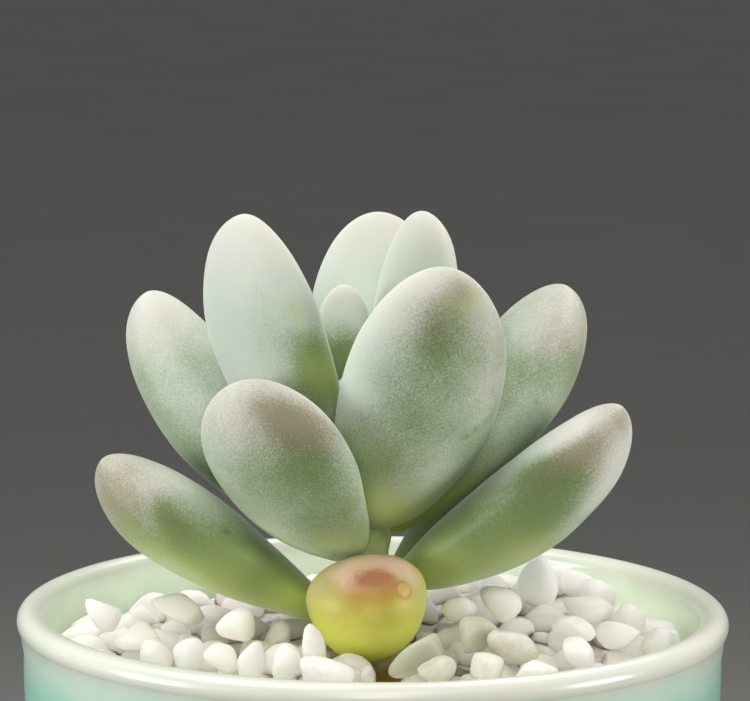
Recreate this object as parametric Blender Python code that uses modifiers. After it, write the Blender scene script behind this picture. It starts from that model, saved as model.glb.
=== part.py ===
"""Potted moonstones: a loose rosette of plump, bloom-covered leaves on a short stem, planted in a
glazed ceramic pot whose soil is topped with white pebbles.

Metres, +Z up. The origin is the middle of the pot's foot, on the surface that the pot stands on, and
-Y is the front. The pot is one thrown piece. The soil fills it, the gravel covers the soil, the stem
stands in a hole through both, and every leaf is a piece of its own with its narrow end at the stem.
"""

import math
import random

import bmesh
import bpy
from mathutils import Matrix, Vector

MM = 0.001
SEAT_GAP = 0.3 * MM

# Pot: a straight-sided cup with a rounded lip that stands a little proud of the wall.
RIM_RADIUS = 40 * MM
POT_HEIGHT = 72 * MM
WALL = 3.2 * MM
LIP_OVERHANG = 0.6 * MM
WALL_TAPER = math.radians(1.0)
FLOOR_TOP = 5.2 * MM
BASE_UNDERSIDE = 1.2 * MM
BASE_CORNER = 2.4 * MM
FOOT_RADIUS = 34.5 * MM
FOOT_WIDTH = 3.5 * MM
FOOT_BEVEL = 0.4 * MM
DRAIN_RADIUS = 4 * MM
TURNED_STEPS = 48
MERGE_WITHIN = 0.01 * MM

# Soil and gravel. The gravel lies lower along the wall than round the stem, with a heap behind on the
# right and another at the front: (x, y, rise, spread) of each heap.
SOIL_TOP = 62 * MM
BED_BOTTOM = SOIL_TOP + SEAT_GAP
BED_EDGE = 65.8 * MM
BED_RISE = 2.6 * MM
HEAPS = ((19 * MM, 19 * MM, 3.2 * MM, 11 * MM), (4 * MM, -27 * MM, 2.4 * MM, 12 * MM))
BED_RINGS = (8 * MM, 15 * MM, 22 * MM, 29 * MM)
BED_UNDER_PEBBLES = 1.0 * MM
PEBBLE_SEED = 12
PEBBLE_SPACING = 6.0 * MM
PEBBLE_TRIES = 2500
PEBBLE_HALF_LENGTH = (3.2 * MM, 4.6 * MM)
PEBBLE_HALF_HEIGHT = 2.7 * MM
PEBBLE_NARROWING = 0.85
PEBBLE_FLATS = 5
PEBBLE_FLAT_AT = 0.8
PEBBLE_LEAN = math.radians(28)

# Stem: straight in the soil, then leaning a little to the left as it goes up.
STEM_FOOT = 48 * MM
STEM_TOP = 93 * MM
STEM_LEAN_FROM = 64 * MM
STEM_LEAN = 2.6 * MM
STEM_LEAN_CURVE = 1.4
STEM_RADIUS_LOW = 3.0 * MM
STEM_RADIUS_HIGH = 1.3 * MM
STEM_TAPER_CURVE = 2.5

# Leaf shape: BELLY_SHARE of the thickness lies below the middle of the blade. A steep leaf stands off the
# stem by up to STEEP_CLEAR of its thickness. The lowest leaves touch the gravel, which is cut clear of them.
LEAF_SEGMENTS = 14
LEAF_RINGS = 11
PLUMPNESS = 1.08
BELLY_SHARE = 0.6
STEEP_CLEAR = 0.25
LEAF_CLEARANCE = 0.45 * MM
LEAVES_IN_GRAVEL = 5

# Leaves from the lowest up, each about 137.5 degrees round the stem from the one below it: azimuth, height
# of the base, tilt above level, length, width, thickness, sag and roll, in degrees and millimetres, and how
# egg-shaped the outline is.
LEAVES = (
    (-94, 68.4, 50, 14.2, 13.4, 11.2, 1.0, 12, 0.38),
    (47, 71.8, 42, 24.0, 9.8, 5.8, 1.0, 0, 0.2),
    (190, 69.8, 34.8, 33.4, 16.2, 9.8, 0.0, 0, 0.48),
    (-18, 75.0, 38.8, 33.6, 17.6, 10.4, 1.5, 0, 0.2),
    (120, 76.8, 32, 25, 13.0, 7.0, 1.5, 0, 0.2),
    (-124, 77.8, 51, 29, 18.6, 7.6, 2.7, 3, 0.36),
    (16, 80.0, 53.2, 34.4, 17.4, 9.5, 1.4, 5, 0.4),
    (162, 80.2, 48.2, 34.9, 12.8, 11.6, 2.0, 0, 0.2),
    (-63, 81.6, 65, 34, 19.5, 10.0, 2.5, 0, 0.2),
    (86, 83.0, 39, 24, 13.0, 6.4, 2.0, 0, 0.2),
    (-141.5, 84.6, 68.5, 35.2, 18.9, 7.8, 2.0, 0, 0.2),
    (-10, 86.0, 60, 15.5, 5.8, 4.3, 1.0, 0, 0.2),
    (83, 87.4, 58.5, 31.5, 14.8, 6.0, 2.5, 0, 0.3),
    (-100, 89.0, 76, 10, 4.2, 3.5, 0.5, 0, 0.2),
    (38, 90.3, 74.5, 26.5, 12.6, 5.2, 1.5, 0, 0.3),
    (106, 91.8, 84.5, 16, 6.8, 4.8, 0.5, 0, 0.2),
    (-15, 92.4, 76, 7, 3.6, 2.8, 0.3, 0, 0.2),
    (200, 92.6, 82, 6, 2.8, 2.2, 0.3, 0, 0.2),
)


def clear_scene():
    for old in list(bpy.data.objects):
        bpy.data.objects.remove(old, do_unlink=True)


def finish(name, colour, roughness):
    """A plain Principled material."""
    made = bpy.data.materials.new(name)
    made.use_nodes = True
    shader = made.node_tree.nodes["Principled BSDF"]
    shader.inputs["Base Color"].default_value = (*colour, 1.0)
    shader.inputs["Roughness"].default_value = roughness
    shader.inputs["Metallic"].default_value = 0.0
    return made


def collection(name):
    made = bpy.data.collections.new(name)
    bpy.context.scene.collection.children.link(made)
    return made


def object_of(name, mesh, home, look):
    made = bpy.data.objects.new(name, mesh)
    home.objects.link(made)
    mesh.materials.append(look)
    return made


def arc(centre, radius, start, end, steps):
    """Points on a round corner of a profile, from one angle to another, in degrees."""
    turns = [math.radians(start + (end - start) * k / steps) for k in range(steps + 1)]
    return [(centre[0] + radius * math.cos(a), centre[1] + radius * math.sin(a)) for a in turns]


def turned(name, profile, home, look):
    """A closed profile of (radius, height) points, spun once round the Z axis by a Screw modifier."""
    shape = bmesh.new()
    points = [shape.verts.new((radius, 0.0, height)) for radius, height in profile]
    for first, second in zip(points, points[1:] + points[:1]):
        shape.edges.new((first, second))
    mesh = bpy.data.meshes.new(name)
    shape.to_mesh(mesh)
    shape.free()
    made = object_of(name, mesh, home, look)
    spin = made.modifiers.new("spin", "SCREW")
    spin.steps = spin.render_steps = TURNED_STEPS
    spin.use_merge_vertices = True
    spin.merge_threshold = MERGE_WITHIN
    spin.use_smooth_shade = True
    return made


def wall_radius(height):
    """The pot's outside radius below the lip."""
    return RIM_RADIUS - LIP_OVERHANG - (POT_HEIGHT - height) * math.tan(WALL_TAPER)


def inner_radius(height):
    return wall_radius(height) - WALL + LIP_OVERHANG


def make_pot(home, look):
    lip = WALL / 2
    lip_centre = (RIM_RADIUS - lip, POT_HEIGHT - lip)
    corner_centre = (wall_radius(BASE_CORNER) - BASE_CORNER, BASE_UNDERSIDE + BASE_CORNER)
    foot_inside = FOOT_RADIUS - FOOT_WIDTH
    inner_corner = (inner_radius(FLOOR_TOP) - BASE_CORNER, FLOOR_TOP + BASE_CORNER)
    profile = [
        *arc(lip_centre, lip, 90, -50, 6),
        (wall_radius(POT_HEIGHT - 3 * lip), POT_HEIGHT - 3 * lip),
        *arc(corner_centre, BASE_CORNER, 0, -90, 3),
        (FOOT_RADIUS, BASE_UNDERSIDE),
        (FOOT_RADIUS - FOOT_BEVEL, 0.0),
        (foot_inside + FOOT_BEVEL, 0.0),
        (foot_inside, BASE_UNDERSIDE),
        (DRAIN_RADIUS, BASE_UNDERSIDE),
        (DRAIN_RADIUS, FLOOR_TOP),
        *arc(inner_corner, BASE_CORNER, -90, 0, 3),
        *arc(lip_centre, lip, 180, 110, 3),
    ]
    return turned("pot", profile, home, look)


def stem_line(height):
    """The middle of the stem at a height."""
    risen = max(0.0, height - STEM_LEAN_FROM) / (STEM_TOP - STEM_LEAN_FROM)
    return Vector((-STEM_LEAN * risen**STEM_LEAN_CURVE, 0.0, height))


def stem_radius(height):
    share = (height - STEM_FOOT) / (STEM_TOP - STEM_FOOT)
    return STEM_RADIUS_LOW + (STEM_RADIUS_HIGH - STEM_RADIUS_LOW) * share**STEM_TAPER_CURVE


def make_stem(home, look):
    line = bpy.data.curves.new("stem", "CURVE")
    line.dimensions = "3D"
    line.bevel_depth = 1.0
    line.bevel_resolution = 3
    line.use_fill_caps = True
    heights = [STEM_FOOT + (STEM_TOP - STEM_FOOT) * k / 12 for k in range(13)]
    spline = line.splines.new("POLY")
    spline.points.add(len(heights) - 1)
    for point, height in zip(spline.points, heights):
        point.co = (*stem_line(height), 1.0)
        point.radius = stem_radius(height)
    return object_of("stem", line, home, look)


class Leaf:
    """One leaf's frame: where its narrow end sits on the stem and how its blade stands."""

    def __init__(self, azimuth, height, tilt, length, width, thickness, sag, roll, egg):
        turn = math.radians(azimuth)
        slope = math.radians(tilt)
        outward = Vector((math.cos(turn), math.sin(turn), 0.0))
        up = Vector((0.0, 0.0, 1.0))
        self.length, self.width, self.thickness = length * MM, width * MM, thickness * MM
        self.sag = sag * MM
        self.egg = egg
        steep = self.thickness * STEEP_CLEAR * (1 - math.cos(slope)) ** 2
        self.base = stem_line(height * MM) + outward * (stem_radius(height * MM) + SEAT_GAP + steep)
        self.along = outward * math.cos(slope) + up * math.sin(slope)
        twist = Matrix.Rotation(math.radians(roll), 3, self.along)
        self.side = twist @ up.cross(outward)
        self.face = twist @ (up * math.cos(slope) - outward * math.sin(slope))

    def place(self, across, through, t):
        """The point that lies across (-1 to 1) and through (-1 to 1) the blade at a share t of its length."""
        bend = math.atan2(-4 * self.sag * (1 - 2 * t), self.length)
        middle = self.base + self.along * (self.length * t) - self.face * (4 * self.sag * t * (1 - t))
        face = self.face * math.cos(bend) - self.along * math.sin(bend)
        half_width = self.width / 2 * swell(t, self.egg)
        half_thick = self.thickness * swell(t, self.egg)
        half_thick *= BELLY_SHARE if through < 0 else 1 - BELLY_SHARE
        return middle + self.side * (across * half_width) + face * (through * half_thick)


def swell(t, egg):
    """How full an egg is at a share t of its length, 1 where it is widest, with its blunt end at t = 1."""
    return fullness(t, egg) / max(fullness(k / 50, egg) for k in range(51))


def fullness(t, egg):
    round_part = 2 * math.sqrt(max(0.0, t * (1 - t)))
    return round_part**PLUMPNESS * (1 - egg + 2 * egg * t)


def make_leaf(name, leaf, home, look, extra=0.0):
    """A leaf, or with extra its outline stood off by that much, as a cutter."""
    shape = bmesh.new()
    bmesh.ops.create_uvsphere(shape, u_segments=LEAF_SEGMENTS, v_segments=LEAF_RINGS, radius=1.0)
    for corner in shape.verts:
        ring = math.hypot(corner.co.x, corner.co.y)
        across, through = (corner.co.x / ring, corner.co.y / ring) if ring > 0.001 else (0.0, 0.0)
        corner.co = leaf.place(across, through, (corner.co.z + 1) / 2)
    bmesh.ops.recalc_face_normals(shape, faces=shape.faces)
    shape.normal_update()
    for corner in shape.verts:
        corner.co += corner.normal * extra
    mesh = bpy.data.meshes.new(name)
    shape.to_mesh(mesh)
    shape.free()
    mesh.shade_smooth()
    return object_of(name, mesh, home, look)


def bed_height(x, y):
    """How high the middle of a pebble lies at a place in the pot."""
    share = (x * x + y * y) / inner_radius(SOIL_TOP) ** 2
    height = BED_EDGE + BED_RISE * (1 - share)
    for heap_x, heap_y, rise, spread in HEAPS:
        height += rise * math.exp(-((x - heap_x) ** 2 + (y - heap_y) ** 2) / spread**2)
    return height


def pebble_places(chance):
    """Middles of the pebbles, thrown at random and kept where they lie clear of those already there."""
    reach = inner_radius(SOIL_TOP) - PEBBLE_HALF_LENGTH[1] * PEBBLE_FLAT_AT
    kept = []
    for _ in range(PEBBLE_TRIES):
        x, y = chance.uniform(-reach, reach), chance.uniform(-reach, reach)
        if math.hypot(x, y) < reach and all(math.dist((x, y), k) > PEBBLE_SPACING for k in kept):
            kept.append((x, y))
    return kept


def make_pebble(name, place, chance, home, look):
    """A rounded stone with a few flattened sides, turned at random."""
    shape = bmesh.new()
    bmesh.ops.create_icosphere(shape, subdivisions=2, radius=1.0)
    lean = Matrix.Rotation(chance.uniform(-PEBBLE_LEAN, PEBBLE_LEAN), 3, "X")
    turn = Matrix.Rotation(chance.uniform(0, math.tau), 3, "Z") @ lean
    half_width = chance.uniform(*PEBBLE_HALF_LENGTH) * PEBBLE_NARROWING
    size = Vector((chance.uniform(*PEBBLE_HALF_LENGTH), half_width, PEBBLE_HALF_HEIGHT))
    flats = [Vector([chance.gauss(0, 1) for _ in range(3)]).normalized() for _ in range(PEBBLE_FLATS)]
    for corner in shape.verts:
        for flat in flats:
            corner.co -= flat * max(0.0, corner.co.dot(flat) - PEBBLE_FLAT_AT)
        corner.co = turn @ (corner.co * size)
    bmesh.ops.translate(shape, verts=shape.verts, vec=(*place, bed_height(*place)))
    mesh = bpy.data.meshes.new(name)
    shape.to_mesh(mesh)
    shape.free()
    return as_cutter(object_of(name, mesh, home, look))


def make_soil(home, look):
    """A block that fills the pot up to the gravel, with a plain hole for the stem."""
    edge = inner_radius(FLOOR_TOP) - SEAT_GAP
    bottom = FLOOR_TOP + SEAT_GAP
    bore = STEM_RADIUS_LOW + SEAT_GAP
    profile = [
        (bore, SOIL_TOP),
        (inner_radius(SOIL_TOP) - SEAT_GAP, SOIL_TOP),
        *arc((edge - BASE_CORNER, bottom + BASE_CORNER), BASE_CORNER, 0, -90, 3),
        (0.0, bottom),
        (0.0, STEM_FOOT - SEAT_GAP),
        (bore, STEM_FOOT - SEAT_GAP),
    ]
    return turned("soil", profile, home, look)


def make_bed(home, look):
    """The gravel below the pebbles on top: a disc whose upper side follows the heaps."""
    edge = inner_radius(BED_EDGE) - SEAT_GAP
    top = [(radius, BED_EDGE) for radius in (0.0, *BED_RINGS, edge)]
    profile = [*top, (inner_radius(BED_BOTTOM) - SEAT_GAP, BED_BOTTOM), (0.0, BED_BOTTOM)]
    shape = bmesh.new()
    points = [shape.verts.new((radius, 0.0, height)) for radius, height in profile]
    for first, second in zip(points, points[1:]):
        shape.edges.new((first, second))
    outline = shape.verts[:] + shape.edges[:]
    bmesh.ops.spin(shape, geom=outline, axis=(0, 0, 1), angle=math.tau, steps=TURNED_STEPS, use_merge=True)
    bmesh.ops.remove_doubles(shape, verts=shape.verts, dist=MERGE_WITHIN)
    for corner in shape.verts:
        if corner.co.z > BED_BOTTOM + SEAT_GAP:
            corner.co.z = bed_height(corner.co.x, corner.co.y) - BED_UNDER_PEBBLES
    bmesh.ops.recalc_face_normals(shape, faces=shape.faces)
    mesh = bpy.data.meshes.new("gravel")
    shape.to_mesh(mesh)
    shape.free()
    return object_of("gravel", mesh, home, look)


def as_cutter(made):
    made.hide_render = True
    made.display_type = "WIRE"
    return made


def make_gravel(leaves, home, shapers, look):
    """A bed with the pebbles joined to it, kept clear of the stem and of the leaves that lie on it."""
    chance = random.Random(PEBBLE_SEED)
    gravel = make_bed(home, look)
    pebbles = bpy.data.collections.new("pebbles")
    keep_out = bpy.data.collections.new("keep_out")
    shapers.children.link(pebbles)
    shapers.children.link(keep_out)
    for index, place in enumerate(pebble_places(chance)):
        make_pebble(f"pebble_{index}", place, chance, pebbles, look)
    for index, leaf in enumerate(leaves):
        as_cutter(make_leaf(f"keep_out_{index}", leaf, keep_out, look, extra=LEAF_CLEARANCE))
    bore = STEM_RADIUS_LOW + SEAT_GAP
    hole = [(0.0, 2 * POT_HEIGHT), (bore, 2 * POT_HEIGHT), (bore, STEM_FOOT), (0.0, STEM_FOOT)]
    as_cutter(turned("stem_hole", hole, keep_out, look))
    for operation, others in (("UNION", pebbles), ("DIFFERENCE", keep_out)):
        join = gravel.modifiers.new(operation.lower(), "BOOLEAN")
        join.operation = operation
        join.operand_type = "COLLECTION"
        join.collection = others
        join.solver = "MANIFOLD"
    return gravel


def main():
    clear_scene()
    plant = collection("potted_moonstones")
    shapers = collection("shapers")
    shapers.hide_render = True
    glaze = finish("mint_glaze", (0.55, 0.74, 0.62), 0.25)
    earth = finish("soil", (0.06, 0.045, 0.035), 0.95)
    stone = finish("white_pebble", (0.82, 0.8, 0.77), 0.6)
    bark = finish("stem", (0.35, 0.42, 0.22), 0.7)
    old = finish("old_leaf", (0.6, 0.58, 0.2), 0.6)
    bloom = finish("leaf_bloom", (0.56, 0.66, 0.53), 0.75)
    leaves = [Leaf(*measures) for measures in LEAVES]
    make_pot(plant, glaze)
    make_soil(plant, earth)
    make_gravel(leaves[:LEAVES_IN_GRAVEL], plant, shapers, stone)
    make_stem(plant, bark)
    for index, leaf in enumerate(leaves):
        make_leaf(f"leaf_{index + 1:02d}", leaf, plant, bloom if index else old)


main()
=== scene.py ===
# %% [markdown]
# # Potted moonstones
#
# This lesson dresses a imported CAD model of a small succulent in a glazed pot. The plant is a loose
# rosette of plump leaves whose green flesh is dusted with a pale powder, called bloom. The pot is
# straight sided, with a rounded lip, and white pebbles cover its soil.
#
# Everything is in metres, Z is up and the front is towards -Y. The CAD model gives each piece its
# place, and its measures are used again here with more detail. What no rule gives, such as the rubbed
# patches of a leaf and the stones in front, is set from the photograph.

# %% Load the frame
import math
import random

import bmesh
import bpy
from mathutils import Matrix, Vector, noise
from mathutils.kdtree import KDTree


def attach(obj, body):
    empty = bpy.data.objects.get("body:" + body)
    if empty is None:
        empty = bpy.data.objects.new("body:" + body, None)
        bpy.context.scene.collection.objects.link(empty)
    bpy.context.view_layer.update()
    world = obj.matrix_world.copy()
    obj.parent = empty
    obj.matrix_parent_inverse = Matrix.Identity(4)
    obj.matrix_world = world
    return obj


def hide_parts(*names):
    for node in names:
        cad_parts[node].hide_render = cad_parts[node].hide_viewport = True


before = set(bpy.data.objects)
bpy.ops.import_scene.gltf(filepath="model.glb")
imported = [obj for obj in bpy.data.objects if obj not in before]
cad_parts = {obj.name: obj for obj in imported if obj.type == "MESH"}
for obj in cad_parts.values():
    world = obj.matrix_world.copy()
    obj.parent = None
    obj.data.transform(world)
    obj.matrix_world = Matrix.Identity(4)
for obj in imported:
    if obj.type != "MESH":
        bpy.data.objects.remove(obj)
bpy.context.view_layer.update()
MM = 0.001
print("CAD nodes:", len(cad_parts))

# %% [markdown]
# ## The camera
#
# The photograph was taken from a little above the rim with a long lens, which shows in how flat the
# rim's ellipse is. The rim's centre is a good anchor: its pixel and its distance fix the camera, and
# the tilt of the ellipse gives a small roll. A shift of the lens would frame it too, but aiming the
# camera keeps the other views simple.

# %% Camera
PHOTO_WIDTH, PHOTO_HEIGHT = 750, 701
SENSOR = 36.0
FOCAL_PIXELS = 3975.0
RIM_CENTRE = Vector((0.0, 0.0, 70.4 * MM))
RIM_PIXEL = (375.3, 617.0)
CAMERA_DISTANCE = 450 * MM
CAMERA_HEIGHT_ANGLE = math.radians(12.5)
CAMERA_ROLL = math.radians(0.45)
CLIP_NEAR, CLIP_FAR = 0.01, 50.0


def make_camera():
    """A camera that sees the rim's centre at its pixel, from its distance and height."""
    data = bpy.data.cameras.new("camera")
    data.sensor_width = SENSOR
    data.lens = FOCAL_PIXELS * SENSOR / PHOTO_WIDTH
    data.clip_start, data.clip_end = CLIP_NEAR, CLIP_FAR
    below = math.atan((RIM_PIXEL[1] - PHOTO_HEIGHT / 2) / FOCAL_PIXELS)
    aside = math.atan((RIM_PIXEL[0] - PHOTO_WIDTH / 2) / FOCAL_PIXELS)
    back = Vector((0.0, -math.cos(CAMERA_HEIGHT_ANGLE), math.sin(CAMERA_HEIGHT_ANGLE)))
    pitch = Matrix.Rotation(math.radians(90) - CAMERA_HEIGHT_ANGLE + below, 4, "X")
    turn = Matrix.Rotation(aside, 4, "Z") @ pitch @ Matrix.Rotation(CAMERA_ROLL, 4, "Z")
    made = bpy.data.objects.new("camera", data)
    made.matrix_world = Matrix.Translation(RIM_CENTRE + back * CAMERA_DISTANCE) @ turn
    bpy.context.scene.collection.objects.link(made)
    bpy.context.scene.camera = made
    return made


camera = make_camera()
print("lens in mm:", round(camera.data.lens, 1))

# %% [markdown]
# ## Shader maths as expressions
#
# A node tree is easier to read when `1 - mask * 0.5` is written as that. The class below wraps one
# output socket, and each operator adds the Math node that does it. A Math node would turn a colour
# grey, so colours go through `blend`, which adds a Mix node. Every other node comes from `node`,
# which takes its type, its settings and what goes into its sockets.

# %% Shader values


class Value:
    """One output of a node, so that shader maths can be written as an expression."""

    def __init__(self, tree, socket):
        self.tree, self.socket = tree, socket

    def math(self, operation, first, second=0.0):
        return node(self.tree, "ShaderNodeMath", {"operation": operation}, {0: first, 1: second})

    def __add__(self, other):
        return self.math("ADD", self, other)

    def __sub__(self, other):
        return self.math("SUBTRACT", self, other)

    def __rsub__(self, other):
        return self.math("SUBTRACT", other, self)

    def __mul__(self, other):
        return self.math("MULTIPLY", self, other)

    __radd__ = __add__
    __rmul__ = __mul__


def node(tree, kind, settings, inputs, output=0):
    """Adds a node: its settings first, then a value or a link for each socket. Gives one output."""
    made = tree.nodes.new(kind)
    for name, value in settings.items():
        setattr(made, name, value)
    for key, value in inputs.items():
        if isinstance(value, Value):
            tree.links.new(value.socket, made.inputs[key])
        else:
            made.inputs[key].default_value = value
    return Value(tree, made.outputs[output])


# %% Shader helpers
MIX_LOW, MIX_HIGH, MIX_COLOUR = 6, 7, 2
HEIGHT_OUTPUT = 2


def colour_input(value):
    """A link as it is, or three numbers as a colour without transparency."""
    return value if isinstance(value, Value) else (*value, 1.0)


def blend(mask, low, high):
    """The colour low where the mask is 0 and high where it is 1."""
    inputs = {0: mask, MIX_LOW: colour_input(low), MIX_HIGH: colour_input(high)}
    return node(mask.tree, "ShaderNodeMix", {"data_type": "RGBA"}, inputs, output=MIX_COLOUR)


def between(value, low, high, start=0.0, end=1.0):
    """Runs smoothly from start to end while the value goes from low to high."""
    ends = {1: low, 2: high, 3: start, 4: end}
    return node(value.tree, "ShaderNodeMapRange", {"interpolation_type": "SMOOTHSTEP"}, {0: value, **ends})


def painted(tree, name):
    """A number that was painted on the piece's vertices."""
    return node(tree, "ShaderNodeAttribute", {"attribute_name": name}, {}, output="Fac")


def place_on(tree):
    """Where a point is, in the object's own coordinates."""
    return node(tree, "ShaderNodeTexCoord", {}, {}, output="Object")


def height_on(tree):
    return node(tree, "ShaderNodeSeparateXYZ", {}, {0: place_on(tree)}, output=HEIGHT_OUTPUT)


def clouds(tree, size, detail=2.0, rough=0.5):
    """Soft random values around 0.5, with patches about as large as size."""
    inputs = {"Vector": place_on(tree), "Scale": 1 / size, "Detail": detail, "Roughness": rough}
    return node(tree, "ShaderNodeTexNoise", {}, inputs)


def bump(height, distance, strength=1.0):
    """A surface normal that follows a height, whose full step is distance high."""
    inputs = {"Height": height, "Distance": distance, "Strength": strength}
    return node(height.tree, "ShaderNodeBump", {}, inputs)


# %% Finish


class Finish:
    """A material in the making, with one Principled shader."""

    def __init__(self, name):
        self.material = bpy.data.materials.new(name)
        self.material.use_nodes = True
        self.tree = self.material.node_tree
        self.shader = self.tree.nodes["Principled BSDF"]

    def set(self, **inputs):
        """Sets or links the shader's sockets. An underscore in a name stands for a space."""
        for name, value in inputs.items():
            socket = self.shader.inputs[name.replace("_", " ")]
            if isinstance(value, Value):
                self.tree.links.new(value.socket, socket)
            else:
                socket.default_value = value


# %% [markdown]
# ## Turning a pot
#
# The real pot was thrown on a wheel or cast in a mould turned on one, so it is round to within the
# thickness of its glaze. Blender's Screw modifier or the bmesh spin operator both turn a profile. The
# operator is used here because its result is a plain closed mesh, which can then be given the slight
# unevenness that a fired pot always has.

# %% Profile helpers
MERGE_WITHIN = 0.002 * MM


def arc(centre, radius, start, end, steps):
    """Points on a round corner of a profile, from one angle to another, in degrees."""
    turns = [math.radians(start + (end - start) * k / steps) for k in range(steps + 1)]
    return [(centre[0] + radius * math.cos(a), centre[1] + radius * math.sin(a)) for a in turns]


def finer(profile, longest):
    """The profile with each long straight run cut into pieces no longer than that."""
    made = []
    for first, second in zip(profile, profile[1:]):
        cuts = max(1, math.ceil(math.dist(first, second) / longest))
        made += [tuple(a + (b - a) * k / cuts for a, b in zip(first, second)) for k in range(cuts)]
    return made + profile[-1:]


def turn_profile(shape, profile, steps):
    """Spins (radius, height) points once round the Z axis. The profile is a loop or ends on the axis."""
    points = [shape.verts.new((radius, 0.0, height)) for radius, height in profile]
    for first, second in zip(points, points[1:]):
        shape.edges.new((first, second))
    outline = shape.verts[:] + shape.edges[:]
    bmesh.ops.spin(shape, geom=outline, axis=(0, 0, 1), angle=math.tau, steps=steps, use_merge=True)
    bmesh.ops.remove_doubles(shape, verts=shape.verts, dist=MERGE_WITHIN)
    bmesh.ops.recalc_face_normals(shape, faces=shape.faces)


def piece_from(shape, name, finish):
    """Makes the bmesh a piece of the object, in place of the CAD node of that name."""
    mesh = bpy.data.meshes.new(name)
    shape.to_mesh(mesh)
    shape.free()
    mesh.shade_smooth()
    mesh.materials.append(finish.material)
    made = bpy.data.objects.new(name, mesh)
    bpy.context.scene.collection.objects.link(made)
    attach(made, "root")
    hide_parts(name)
    print(name, "has", sum(len(face.vertices) - 2 for face in mesh.polygons), "triangles")
    return made


# %% Pot profile
RIM_RADIUS = 40 * MM
POT_HEIGHT = 72 * MM
WALL = 3.2 * MM
LIP_OVERHANG = 0.6 * MM
WALL_TAPER = math.radians(1.0)
FLOOR_TOP = 5.2 * MM
BASE_UNDERSIDE = 1.2 * MM
BASE_CORNER = 2.4 * MM
FOOT_RADIUS = 34.5 * MM
FOOT_WIDTH = 3.5 * MM
FOOT_BEVEL = 0.4 * MM
DRAIN_RADIUS = 4 * MM


def wall_radius(height):
    """The pot's outside radius below the lip."""
    return RIM_RADIUS - LIP_OVERHANG - (POT_HEIGHT - height) * math.tan(WALL_TAPER)


def inner_radius(height):
    return wall_radius(height) - WALL + LIP_OVERHANG


def pot_profile():
    lip = WALL / 2
    lip_centre = (RIM_RADIUS - lip, POT_HEIGHT - lip)
    corner_centre = (wall_radius(BASE_CORNER) - BASE_CORNER, BASE_UNDERSIDE + BASE_CORNER)
    foot_inside = FOOT_RADIUS - FOOT_WIDTH
    inner_corner = (inner_radius(FLOOR_TOP) - BASE_CORNER, FLOOR_TOP + BASE_CORNER)
    return [
        *arc(lip_centre, lip, 90, -42, 14),
        (RIM_RADIUS - 0.75 * LIP_OVERHANG, POT_HEIGHT - 2.4 * lip),
        (wall_radius(POT_HEIGHT - 3 * lip), POT_HEIGHT - 3.2 * lip),
        *arc(corner_centre, BASE_CORNER, 0, -90, 10),
        (FOOT_RADIUS, BASE_UNDERSIDE),
        (FOOT_RADIUS - FOOT_BEVEL, 0.0),
        (foot_inside + FOOT_BEVEL, 0.0),
        (foot_inside, BASE_UNDERSIDE),
        (DRAIN_RADIUS, BASE_UNDERSIDE),
        (DRAIN_RADIUS, FLOOR_TOP),
        *arc(inner_corner, BASE_CORNER, -90, 0, 8),
        *arc(lip_centre, lip, 180, 100, 10),
    ]


print("radius of the wall at the foot in mm:", round(wall_radius(0.0) / MM, 1))

# %% Turned pot
POT_STEPS = 192
POT_STEP_LENGTH = 2 * MM
THROWING_MARKS, THROWING_LENGTH = 0.05 * MM, 1.1 * MM
OUT_OF_ROUND, WARP_LENGTH = 0.12 * MM, 30 * MM
UNEVEN_FROM = 20 * MM


def make_pot(finish):
    """The pot, turned from its profile and left a little uneven, as a fired pot is."""
    shape = bmesh.new()
    profile = pot_profile()
    turn_profile(shape, finer(profile + profile[:1], POT_STEP_LENGTH), POT_STEPS)
    for corner in shape.verts:
        outward = Vector((corner.co.x, corner.co.y, 0.0)).normalized()
        ripple = THROWING_MARKS * math.sin(corner.co.z / THROWING_LENGTH)
        warp = OUT_OF_ROUND * noise.noise(corner.co / WARP_LENGTH)
        corner.co += outward * ((ripple + warp) * min(1.0, corner.co.z / UNEVEN_FROM))
    piece_from(shape, "pot", finish)


# %% [markdown]
# ## Glaze
#
# The glaze is a mint celadon. Where it runs thin over the lip it breaks to cream, and where it pools
# lower down it is deeper and bluer. Height drives that, with soft clouds so that the line isn't ruled.
# The inside, which the distance from the pot's axis finds, is paler, and painted paler still: painted
# light that lifts the shade inside the pot. The foot ring stays bare, so its clay is matt. Roughness
# and a very shallow bump carry the slight orange-peel of a fired surface, and the gloss itself is a clear
# coat.

# %% Glaze material
CREAM = (0.74, 0.74, 0.64)
PALE_MINT = (0.53, 0.70, 0.58)
MINT = (0.30, 0.60, 0.48)
INSIDE_MINT_AND_PAINTED_LIGHT = (0.82, 0.94, 0.79)
BARE_CLAY = (0.62, 0.55, 0.46)
CREAM_ENDS = POT_HEIGHT - 3.2 * MM
CREAM_FROM, CREAM_FULL = CREAM_ENDS - 1.2 * MM, CREAM_ENDS + 1.6 * MM
INSIDE_RUN = 1.6 * MM
MINT_FROM = POT_HEIGHT - 8 * MM
BARE_BAND = (1.0 * MM, 1.5 * MM)
IRON_SPECK = (0.36, 0.34, 0.22)


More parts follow.
